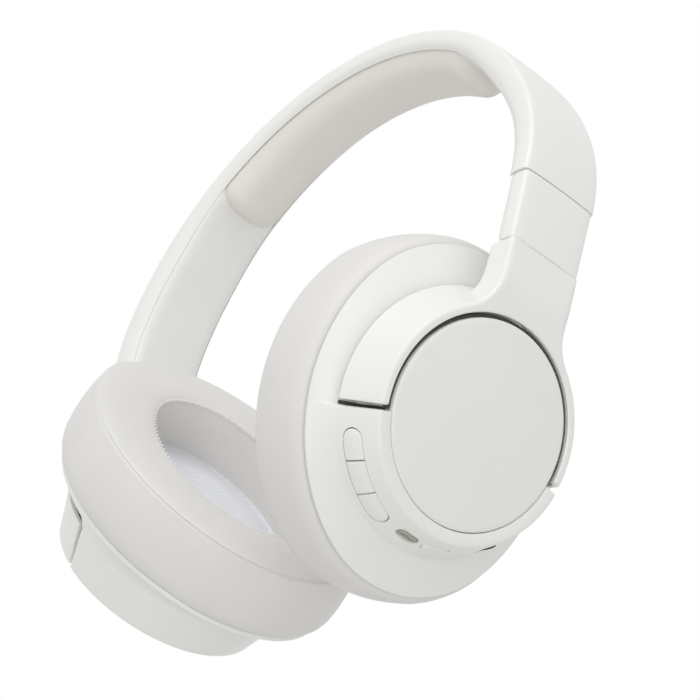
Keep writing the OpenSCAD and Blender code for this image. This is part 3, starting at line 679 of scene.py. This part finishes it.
def housing_rows():
    steps = [(0.15, 0.35), (0.35, 0.7), (0.7, 0.93), (1.2, 1.0)]  # up the drum's ends: degrees, share
    rear = [(HOUSING_REAR - 0.01, 0.0)] + [(HOUSING_REAR + d, k) for d, k in steps]
    front = [(360 - HOUSING_FRONT - d, k) for d, k in reversed(steps)] + [(360 - HOUSING_FRONT + 0.01, 0.0)]
    made = []
    angle = -HOUSING_FRONT + 2.0
    while angle < HOUSING_REAR - 1.5:
        made.append((angle, 0.0))
        angle += 2.0
    made += rear
    angle = HOUSING_REAR + 2.4
    while angle < 360 - HOUSING_FRONT - 2.0:
        made.append((angle, 1.0))
        angle += 2.0
    return [housing_row(v, k) for v, k in made + front]


def on_wall(angle, depth, proud=0.0):
    """A point on the drum's wall, standing proud of it by so many mm."""
    tilt = atan2(WALL_FOOT_R - WALL_TOP_R, WALL_FOOT - WALL_TOP)
    r = WALL_TOP_R + (depth - WALL_TOP) * tan(tilt) + proud * cos(tilt)
    a = radians(angle)
    return Vector((r * cos(a), r * sin(a), depth - proud * sin(tilt)))


PER_DEGREE = radians(1) * 33.6  # mm along the wall


def pill(first, last, depth, half, low, high, round_first=True, round_last=True, crown=0.0, edge=0.0):
    """Rows across a pill on the wall, from one angle to another, between two heights."""
    length = (last - first) * PER_DEGREE
    rows = []
    for i in range(27):
        s = length * (1 - cos(pi * i / 26)) / 2
        short = 0.0
        if round_first and s < half:
            short = (half - s) / half
        if round_last and length - s < half:
            short = (half - (length - s)) / half
        w = max(0.03, half * sqrt(max(0.0, 1 - short**2)))
        near = min(s, length - s)
        top = high - (edge * (1 - smooth(near, 0, edge * 1.2)) if edge else 0)
        half_row = [(w, low), (w, top - edge), (w - 0.3 * edge, top - 0.35 * edge), (max(0, w - edge), top)]
        row = [(-v, h) for v, h in half_row] + [(0, top + crown)] + half_row[::-1]
        rows.append([on_wall(first + s / PER_DEGREE, depth + v, h) for v, h in row])
    return rows


# Places round the drum are in degrees from straight up, by the rear.
ROCKER = (119.0, 133.6, 149.1, 165.0)
ROCKER_DEPTH, ROCKER_HALF = 8.1, 3.0
PORT_AT, PORT_DEPTH = 176.8, 6.4
PORT_REACH, PORT_HALF = 3.5, 1.95
POWER_AT, POWER_DEPTH = 193.0, 6.2
POWER_REACH, POWER_HALF = 4.35, 1.8
JACK_AT, CHARGE_AT = 222.0, 245.0
JACK_R = 3.05
CHARGE_WIDE, CHARGE_LONG = 3.4, 9.2
CUT_TO = 2.5  # how far cutters stand proud of the wall


def carve(housing, first, last, depth, half, low):
    """Cuts a pill-shaped pocket into a housing's wall, down to a height of low."""
    work = bmesh.new()
    work.from_mesh(surface("cutter", pill(first, last, depth, half, low, CUT_TO), cup(RIGHT)))
    cut(housing, to_cut(work))


for side, word in SIDES.items():
    housing = piece(f"Cup_housing_{word}", housing_rows(), f"cup_{word}", abs_satin,
                    [f"cup_housing_{word}"], cup(side), ring=True, sharp=30)
    if side == RIGHT:
        port, power = PORT_REACH / PER_DEGREE, POWER_REACH / PER_DEGREE
        carve(housing, ROCKER[0], ROCKER[-1], ROCKER_DEPTH, ROCKER_HALF, -1.6)
        carve(housing, PORT_AT - port, PORT_AT + port, PORT_DEPTH, PORT_HALF, -1.2)
        carve(housing, POWER_AT - power, POWER_AT + power, POWER_DEPTH, POWER_HALF, -1.6)
        jack, charge = (cup(side) @ Matrix.Rotation(radians(at), 4, "Z") for at in (JACK_AT, CHARGE_AT))
        outward = Matrix.Translation((32, 0, PIVOT_DEPTH)) @ Matrix.Rotation(pi / 2, 4, "Y")
        cut(housing, rod(JACK_R, 20, 40, jack @ outward))
        cut(housing, box((20, -CHARGE_LONG / 2, PIVOT_DEPTH - CHARGE_WIDE / 2),
                         (45, CHARGE_LONG / 2, PIVOT_DEPTH + CHARGE_WIDE / 2), charge))


# ---- Keys ----
# Three ABS keys share one long rounded slot in the wall of the right cup, with a raised mark to
# find each by touch, and an oval power key stands further down. Each is crowned a little.

KEY_JOINT = 0.32  # degrees from the middle of a joint to a key
KEY_END = 0.65  # degrees from the slot's end to a key
KEY_GAP, POWER_GAP = 0.2, 0.25
KEY_FOOT = -0.85  # a key's lower side, from the wall
for i, name in enumerate(("volume_up", "multifunction", "volume_down")):
    low_end, high_end = i == 0, i == 2
    first = ROCKER[i] + (KEY_END if low_end else KEY_JOINT)
    last = ROCKER[i + 1] - (KEY_END if high_end else KEY_JOINT)
    rows = pill(first, last, ROCKER_DEPTH, ROCKER_HALF - KEY_GAP, KEY_FOOT, 0.12, low_end, high_end,
                crown=0.16, edge=0.22)
    piece(f"Key_{name}", rows, f"{name}_key", abs_satin, [f"{name}_button"], cup(RIGHT), sharp=50)
    middle = (ROCKER[i] + ROCKER[i + 1]) / 2 + (1.0 if low_end else -1.0 if high_end else 0)
    length, half = (0.9, 0.45) if name == "multifunction" else (1.7, 0.26)
    reach = length / 2 / PER_DEGREE
    piece(f"Mark_{name}", pill(middle - reach, middle + reach, ROCKER_DEPTH, half, 0.0, 0.40, edge=0.12),
          f"{name}_key", abs_satin, place=cup(RIGHT))
reach = (POWER_REACH - POWER_GAP) / PER_DEGREE
rows = pill(POWER_AT - reach, POWER_AT + reach, POWER_DEPTH, POWER_HALF - POWER_GAP, KEY_FOOT, 0.2,
            crown=0.2, edge=0.25)
piece("Key_power", rows, "power_key", abs_satin, ["power_button"], cup(RIGHT), sharp=50)


# ---- Caps ----
# The round plate on the outside of each cup is ABS with a matt soft-touch lacquer, a shade
# greyer than the shell. It is very slightly domed, and a hairline parts it from the drum.

CAP_R = 27.5
CAP_DOME = 0.9

# Soft-touch lacquer: fine matting powder in a rubbery film, with no clear highlight.
cap_lacquer = moulded("soft-touch lacquer on ABS, pale grey", "#f0f0ed", "#ebebe8", 0.5, 0.3, 0.004)


def cap_row(angle):
    dome = [(CAP_R * u, -CAP_DOME * (1 - u**2))
            for u in (0.002, 0.1, 0.2, 0.3, 0.4, 0.5, 0.6, 0.7, 0.8, 0.88, 0.94, 0.965)]
    rim = [(CAP_R - 0.45, 0.06), (CAP_R - 0.2, 0.2), (CAP_R - 0.05, 0.45), (CAP_R, 0.8), (CAP_R, 2.2),
           (0.05, 2.2)]
    return round_axis(dome + rim, angle)


for side, word in SIDES.items():
    piece(f"Cup_cap_{word}", [cap_row(angle) for angle in range(0, 360, 3)], f"cup_{word}",
          cap_lacquer, [f"cup_cap_{word}"], cup(side), ring=True, sharp=40)


# ---- Gap shade strips ----
# A dark olive-grey strip, laid round the cap under the yoke, is painted shade in the gap there.
# A short block of the same dark grey, behind the end of the yoke's rear arm, is painted shade too.

# Painted shade: a dark olive grey that stands in for the shade in the gaps by the cap.
painted_gap_shade = moulded("dark olive strip, painted shade in the cap gap", "#4d4e40", "#44453a", 0.9, 0.5, 0.05)
STRIP_SECTION = ((27.6, 1.5), (28.15, 1.3), (28.5, 1.7), (28.55, 3.2), (27.6, 3.2))
ARM_SHADE_SECTION = ((27.55, 3.2), (27.95, 3.2), (27.95, 12.6), (28.6, 13.7), (32.4, 14.15), (34.2, 14.3),
                (34.2, 15.0), (27.55, 15.0))


def swept(section, first, last, steps):
    return [round_axis(section, first + (last - first) * i / steps) for i in range(steps + 1)]


# Both pieces are painted shade: dark fillings where the gaps by the cap fall in shade.
for side, word in SIDES.items():
    for name, rows in (("Arm_gap_shade", swept(ARM_SHADE_SECTION, REAR_ARM + 0.6, HOUSING_REAR - 0.1, 6)),
                       ("Cap_gap_shade", swept(STRIP_SECTION, 0.6 - HOUSING_FRONT, HOUSING_REAR - 0.6, 120))):
        piece(f"{name}_{word}", rows, f"cup_{word}", painted_gap_shade, place=cup(side), sharp=60)


# ---- Ear cushions ----
# A memory-foam ring under polyurethane leather. A side panel and a face panel meet in a piped
# seam near the top, and the face is gathered where it is stitched to the lining of the ear hole.

HOLE_OFF = -16.6  # the ear hole's edge, inside the rim
CUSHION_STEPS = 360
GATHERS = 74
JOIN_AT = radians(175)  # where the side panel's two ends are sewn together
JOIN_DEPTH = 0.4
SHOULDER_DROP = 1.1  # lower by this towards the hinge, to fold past it
FOAM_FOOT, FOAM_FREE = 23.5, 27.0  # depths where the cover is held, and where it is free
CLOTH_FRAMES = 14


def canted(side):
    return cup(side) @ Matrix.Rotation(radians(CANT), 4, "Z")


def oval_at(turn, off):
    """A point off mm outside the rim, where the rim faces turn (radians from the oval's long axis)."""
    c, s = cos(turn), sin(turn)
    local = atan2(abs(s), abs(c))
    if local <= end_half:
        return (copysign(end_x, c) + (END_R + off) * c, (END_R + off) * s)
    return ((side_r + off) * c, -copysign(side_y, s) + (side_r + off) * s)


cushion_section = [
    (-15.0, 22.6), (-8.0, 21.2), (-2.4, 21.0), (-0.6, 20.9), (0.35, 20.95), (1.05, 21.5), (1.75, 22.7),
    (2.3, 24.4), (2.65, 26.6), (2.75, 29.0), (2.7, 31.5), (2.55, 34.0), (2.3, 36.4), (2.0, 38.4),
    (1.7, 39.8), (1.5, 40.6), (1.28, 40.85), (0.72, 41.12), (1.05, 41.38), (1.0, 41.6), (0.62, 41.95),
    (0.0, 42.25), (-1.2, 42.6), (-2.8, 42.85), (-4.8, 43.0), (-7.0, 43.1), (-9.4, 43.1), (-11.6, 43.1),
    (-13.6, 42.95), (-15.2, 42.6), (-16.3, 42.0), (-16.9, 41.4), (-17.15, 40.95), (-17.05, 40.65),
    (-17.2, 40.2), (-17.4, 39.0), (-17.5, 36.5), (-17.4, 33.0), (-17.2, 30.0), (-17.0, 28.0),
    (-17.0, 26.9), (-17.2, 26.4), (-16.6, 25.6), (-15.8, 24.0)]


def cushion_row(turn, section, ripple=True):
    row = []
    for off, depth in section:
        if ripple and off < -13.5 and depth > 38.6:
            near = exp(-(((off + 16.7) / 1.3) ** 2) - ((depth - 41.5) / 1.6) ** 2)
            wave = cos(GATHERS * turn + 1.3 * sin(5 * turn)) * (0.8 + 0.35 * sin(11 * turn + 2))
            off += 0.20 * near * wave
            depth += 0.16 * near * wave
        if 24 < depth < 40.7 and off > 1:
            off -= JOIN_DEPTH * exp(-(((turn - JOIN_AT) / radians(0.3)) ** 2))
        near_hinge = smooth(cos(turn + radians(CANT)), 0.55, 0.95)
        depth -= SHOULDER_DROP * near_hinge * smooth(off, -9, -0.5) * smooth(depth, 36, 40)
        x, y = oval_at(turn, off)
        row.append((x, y, depth))
    return row


def swollen(name, side):
    """The foam pushes the cover out: a cloth simulation on a coarse copy, read back as a surface."""
    inner = [(off * 0.985 - 0.15, depth if depth < 24 else depth - 0.35)
             for off, depth in cushion_section[::2]]
    coarse = piece(name, [cushion_row(tau * i / 96, inner, False) for i in range(96)], None,
                   cushion_leather, place=canted(side), ring=True)
    remesh = coarse.modifiers.new("remesh", "REMESH")
    remesh.mode = "VOXEL"
    remesh.voxel_size = 2.4 * MM
    mesh = bpy.data.meshes.new_from_object(coarse.evaluated_get(bpy.context.evaluated_depsgraph_get()))
    coarse.modifiers.clear()
    coarse.data = mesh
    held = coarse.vertex_groups.new(name="held")
    back = canted(side).inverted()
    for v in mesh.vertices:
        depth = (back @ (v.co / MM)).z
        held.add([v.index], 1.0 if depth < FOAM_FOOT else 0.35 if depth < FOAM_FREE else 0.0, "REPLACE")
    cloth = coarse.modifiers.new("cloth", "CLOTH")
    cloth.settings.quality = 6
    cloth.settings.use_pressure = True
    cloth.settings.uniform_pressure_force = 3.0
    cloth.settings.vertex_group_mass = "held"
    cloth.settings.effector_weights.gravity = 0
    cloth.settings.tension_stiffness = 25
    cloth.settings.compression_stiffness = 25
    cloth.settings.bending_stiffness = 2.0
    cloth.point_cache.frame_start, cloth.point_cache.frame_end = 1, CLOTH_FRAMES
    for step in range(1, CLOTH_FRAMES + 1):
        scene.frame_set(step)
    result = coarse.evaluated_get(bpy.context.evaluated_depsgraph_get()).to_mesh()
    tree = BVHTree.FromPolygons([v.co.copy() for v in result.vertices],
                                [tuple(face.vertices) for face in result.polygons])
    scene.frame_set(1)
    bpy.data.objects.remove(coarse)
    return tree


cushion_leather = leather("polyurethane leather, printed grain, soft white", "#e7e5e2", "#e1dfdc", 0.5, 0.95)
# Twisted polyester thread, slightly glossy and whiter than the leather.
thread = moulded("polyester thread, twisted, white", "#f6f5f2", "#efeeea", 0.45, 0.25, 0.05)
STITCHES = 130
STITCH_OFF, STITCH_DEPTH = -16.9, 41.45
STITCH_THICK, STITCH_SLANT = 0.26, 0.22
SWELL = 0.55  # most that the cover may leave its pattern, mm
for side, word in SIDES.items():
    turns = [tau * i / CUSHION_STEPS for i in range(CUSHION_STEPS)]
    turns = sorted(turns + [JOIN_AT + radians(d) for d in (-0.6, -0.4, -0.2, 0.2, 0.4, 0.6)])
    rows = [cushion_row(turn, cushion_section) for turn in turns]
    tree = swollen(f"Foam_{word}", side)
    place, undo = canted(side), canted(side).inverted()
    for row in rows:
        for j, p in enumerate(row):
            if p[2] < FOAM_FOOT:
                continue
            start = place @ Vector(p)
            move = tree.find_nearest(start * MM)[0] / MM - start
            free = smooth(p[2], FOAM_FOOT, FOAM_FREE) * (1 - 0.75 * exp(-(((p[2] - 41.2) / 0.9) ** 2)))
            if move.length > SWELL:
                move *= SWELL / move.length
            row[j] = undo @ (start + move * free * 0.8)
    cushion = piece(f"Ear_cushion_{word}", rows, f"cup_{word}", cushion_leather,
                    [f"ear_cushion_{word}"], canted(side), ring=True, sharp=70)
    verts, faces = [], []
    for i in range(STITCHES):
        middle = tau * (i + 0.5) / STITCHES
        along = 0.34 * tau / STITCHES
        first = len(verts)
        for u in (-1, -0.5, 0, 0.5, 1):
            thick = STITCH_THICK * sqrt(max(0.02, 1 - u * u))
            for j in range(6):
                turn = tau * j / 6
                x, y = oval_at(middle + along * u, STITCH_OFF + thick * cos(turn) + STITCH_SLANT * u)
                verts.append(canted(side) @ Vector((x, y, STITCH_DEPTH + thick * sin(turn) * 1.4)) * MM)
        for k in range(4):
            for j in range(6):
                a, b = first + k * 6 + j, first + k * 6 + (j + 1) % 6
                faces.append((a, b, b + 6, a + 6))
        faces += [tuple(range(first, first + 6)), tuple(range(first + 24, first + 30))]
    mesh = bpy.data.meshes.new(f"Stitching_{word}")
    mesh.from_pydata(verts, [], faces)
    finished(f"Stitching_{word}", mesh, f"cup_{word}", thread, sharp=60)


# ---- Driver cloths ----
# A knitted polyester mesh over the driver in each ear hole, stretched on the cushion's ring and
# pushed up a little by the grille under it.

CLOTH_DEPTH = 26.3
CLOTH_OFF = HOLE_OFF + 0.2
KNIT_MM = 0.9  # between the knit's holes, coarser than real so that they show

# Knitted polyester: matt, with small holes painted a shade darker than the yarn, as painted shade in them.
cloth_mesh = blank("polyester mesh, knitted, cool white")
where = {"Vector": (add(cloth_mesh, "TexCoord"), "Object")}
holes = add(cloth_mesh, "TexVoronoi", {"Scale": 1 / (KNIT_MM * MM), "Randomness": 0.25}, where)
# Painted shade: the knit's holes are darkened for the shade that falls in them.
painted_hole_shade = add(cloth_mesh, "MapRange", {"From Min": 0.15, "From Max": 0.42, "To Min": 1.0, "To Max": 0.0},
            {"Value": (holes, "Distance")})
tone = add(cloth_mesh, "Mix", {"data_type": "RGBA", 6: colour("#eef0f5"), 7: colour("#dcdfe7")},
           {0: (painted_hole_shade, "Result")})
knit = add(cloth_mesh, "Bump", {"Strength": 0.5, "Distance": 0.12 * MM}, {"Height": (holes, "Distance")})
shader = add(cloth_mesh, "BsdfPrincipled", {"Roughness": 0.78, "Sheen Weight": 0.25, "IOR": 1.45},
             {"Base Color": (tone, 2), "Normal": (knit, "Normal")})
add(cloth_mesh, "OutputMaterial", links={"Surface": (shader, "BSDF")})

for side, word in SIDES.items():
    oval = [oval_at(tau * i / 144, CLOTH_OFF) for i in range(144)]
    rows = []
    for k in range(27):
        u = k / 26
        lift = 1.5 * (1 - smooth(u, 0.55, 0.9)) - 0.35 * exp(-(((u - 0.93) / 0.05) ** 2))
        rows.append([(x * max(u, 0.004), y * max(u, 0.004), CLOTH_DEPTH + lift) for x, y in oval])
    cloth = piece(f"Driver_cloth_{word}", rows, f"cup_{word}", cloth_mesh, [f"driver_cloth_{word}"],
                  canted(side), ends=False, sharp=80)


# ---- Inner parts ----
# What stays as the frame has it: steel strips, pins, clips and screws, the cast knuckles, the
# drivers, the boards and the battery, each in its own real material.


def metal(name, base, roughness, streak_mm, along):
    """A bare metal with fine marks; along stretches them in one direction."""
    made = blank(name)
    where = {"Vector": (add(made, "TexCoord"), "Object")}
    lay = add(made, "Mapping", {"Scale": along}, where)
    marks = add(made, "TexNoise", {"Scale": 1 / (streak_mm * MM), "Detail": 3.0},
                {"Vector": (lay, "Vector")})
    gloss = add(made, "MapRange", {"To Min": roughness - 0.08, "To Max": roughness + 0.1},
                {"Value": (marks, "Fac")})
    bump = add(made, "Bump", {"Strength": 0.3, "Distance": 0.01 * MM}, {"Height": (marks, "Fac")})
    shader = add(made, "BsdfPrincipled", {"Metallic": 1.0, "Base Color": colour(base)},
                 {"Roughness": (gloss, "Result"), "Normal": (bump, "Normal")})
    add(made, "OutputMaterial", links={"Surface": (shader, "BSDF")})
    return made


# Spring steel, ground along the strip; screws and pins are the same steel, turned.
steel = metal("stainless spring steel, ground", "#b9bcc0", 0.32, 0.5, (6.0, 6.0, 1.0))
# Zinc die casting, tumbled and left bare: dull, with a fine even texture.
zinc = metal("zinc die casting, tumbled", "#9fa0a3", 0.48, 0.35, (1.0, 1.0, 1.0))
# Sintered magnet with nickel plating.
nickel = metal("nickel plate on a magnet", "#aaa59d", 0.25, 0.8, (1.0, 1.0, 1.0))
# The rest is moulded, coated or wrapped, so each is even, and as glossy as its surface is smooth.
inner_abs = moulded("ABS, moulded matt off-white", "#e8e7e3", "#e2e1dc", 0.5, 0.4, 0.008)
black_abs = moulded("ABS, moulded black", "#242527", "#2b2c2e", 0.42, 0.4, 0.008)
port_plastic = moulded("acoustic grille plastic, grey", "#b7b6ac", "#a9a89e", 0.55, 0.3, 0.01)
board_mask = moulded("epoxy board under green mask", "#1f5a38", "#24633e", 0.3, 0.6, 0.01)
cell_wrap = moulded("lithium cell in blue film", "#5d7693", "#54708f", 0.28, 0.9, 0.01)
film = moulded("polyester film diaphragm", "#cfd3da", "#c6cad2", 0.2, 0.5, 0.003)
sheath = moulded("silicone cable sheath, black", "#1d1d1f", "#242426", 0.5, 0.3, 0.006)

dressed = {
    "headband_spring": steel, "band_screws": steel, "cross_cable": sheath, "battery": cell_wrap,
    "main_board": board_mask, "button_board": board_mask, "microphone_port": port_plastic,
    "jack_socket": black_abs, "charging_socket": steel}
for word in SIDES.values():
    for name in ("slider_strip", "hinge_pin", "hinge_screws", "swivel_clip", "pivot_pins", "cup_screws"):
        dressed[f"{name}_{word}"] = steel
    for name in ("slider_guide", "yoke_cover", "baffle", "cushion_ring"):
        dressed[f"{name}_{word}"] = inner_abs
    dressed[f"hinge_knuckle_{word}"] = zinc
    dressed[f"driver_basket_{word}"] = black_abs
    dressed[f"driver_magnet_{word}"] = nickel
    dressed[f"driver_diaphragm_{word}"] = film
for name, material in dressed.items():
    node = frame["nodes"][name]
    node.data.materials.clear()
    node.data.materials.append(material)


# ---- Floor, light and camera ----
# A plain pale floor that lets a view from beneath through, an even white surround, and broad
# soft lamps, the strongest high on the side that the controls face.

floor_paper = blank("paper floor, white")
geometry = add(floor_paper, "NewGeometry")
paper = add(floor_paper, "BsdfDiffuse", {"Color": colour("#f4f4f3")})
clear = add(floor_paper, "BsdfTransparent")
path = add(floor_paper, "LightPath")
passing = add(floor_paper, "Math", {"operation": "MAXIMUM"},
              {0: (path, "Is Diffuse Ray"), 1: (path, "Is Shadow Ray")})
passing_all = add(floor_paper, "Math", {"operation": "MAXIMUM"},
                  {0: (passing, 0), 1: (geometry, "Backfacing")})
one_way = add(floor_paper, "MixShader",
              links={0: (passing_all, 0), 1: (paper, "BSDF"), 2: (clear, "BSDF")})
add(floor_paper, "OutputMaterial", links={"Surface": (one_way, "Shader")})
mesh = bpy.data.meshes.new("Floor")
FLOOR_HALF, FLOOR_Z = 3.0, -0.0005  # metres
corners = ((-1, -1), (1, -1), (1, 1), (-1, 1))
mesh.from_pydata([(x * FLOOR_HALF, y * FLOOR_HALF, FLOOR_Z) for x, y in corners], [], [(0, 1, 2, 3)])
mesh.materials.append(floor_paper)
floor = enter("Floor", mesh)

world = bpy.data.worlds.new("studio")
scene.world = world
world.use_nodes = True
world.node_tree.nodes.clear()
path = add(world, "LightPath")
seen = add(world, "Math", {"operation": "MAXIMUM"},
           {0: (path, "Is Camera Ray"), 1: (path, "Is Glossy Ray")})
seen_too = add(world, "Math", {"operation": "MAXIMUM"}, {0: (seen, 0), 1: (path, "Is Transmission Ray")})
fill = add(world, "Background", {"Color": colour("#ffffff"), "Strength": 0.66})
white = add(world, "Background", {"Color": colour("#ffffff"), "Strength": 1.0})
choice = add(world, "MixShader",
             links={0: (seen_too, 0), 1: (fill, "Background"), 2: (white, "Background")})
add(world, "OutputWorld", links={"Surface": (choice, "Shader")})

VIEW_TURN, VIEW_DROP, VIEW_ROLL = 39.42, 35.47, 7.56  # degrees
VIEW_DISTANCE = 850
LENS = 159.3
AIM_RIGHT, AIM_UP = 0.00681, 0.01176  # how far off the middle it looks, over the distance
turn, drop, roll = (radians(v) for v in (VIEW_TURN, VIEW_DROP, VIEW_ROLL))
back = Vector((-cos(drop) * cos(turn), cos(drop) * sin(turn), -sin(drop)))
right = (-back).cross(Vector((0, 0, 1))).normalized()
up = right.cross(-back)
right, up = cos(roll) * right + sin(roll) * up, cos(roll) * up - sin(roll) * right
forward = (-back + right * AIM_RIGHT + up * AIM_UP).normalized()
level = forward.cross(up).normalized()
stand = Vector((0, middle_y, cup(RIGHT).translation.z + 40)) + back * VIEW_DISTANCE
camera = enter("Camera", bpy.data.cameras.new("Camera"))
camera.data.lens = LENS
camera.data.sensor_width = 36
camera.data.clip_end = 10
facing = Matrix((level, level.cross(forward), -forward)).transposed().to_4x4()
camera.matrix_world = Matrix.Translation(stand * MM) @ facing
scene.camera = camera


def lamp(name, direction, distance, size, watts):
    """A square soft lamp, some metres away in a direction from the middle of the headphones."""
    made = enter(name, bpy.data.lights.new(name, "AREA"))
    made.data.size = size
    made.data.energy = watts
    made.location = Vector((0, 0, 0.09)) + direction.normalized() * distance
    made.rotation_euler = (-direction).to_track_quat("-Z", "Y").to_euler()


lamp("Key lamp", back * 0.35 + up * 1.0 - right * 0.1, 1.1, 0.8, 3.8)
lamp("Fill lamp", back * 1.0 - right * 0.1, 1.2, 0.6, 2.6)
scene.view_settings.view_transform = "Standard"
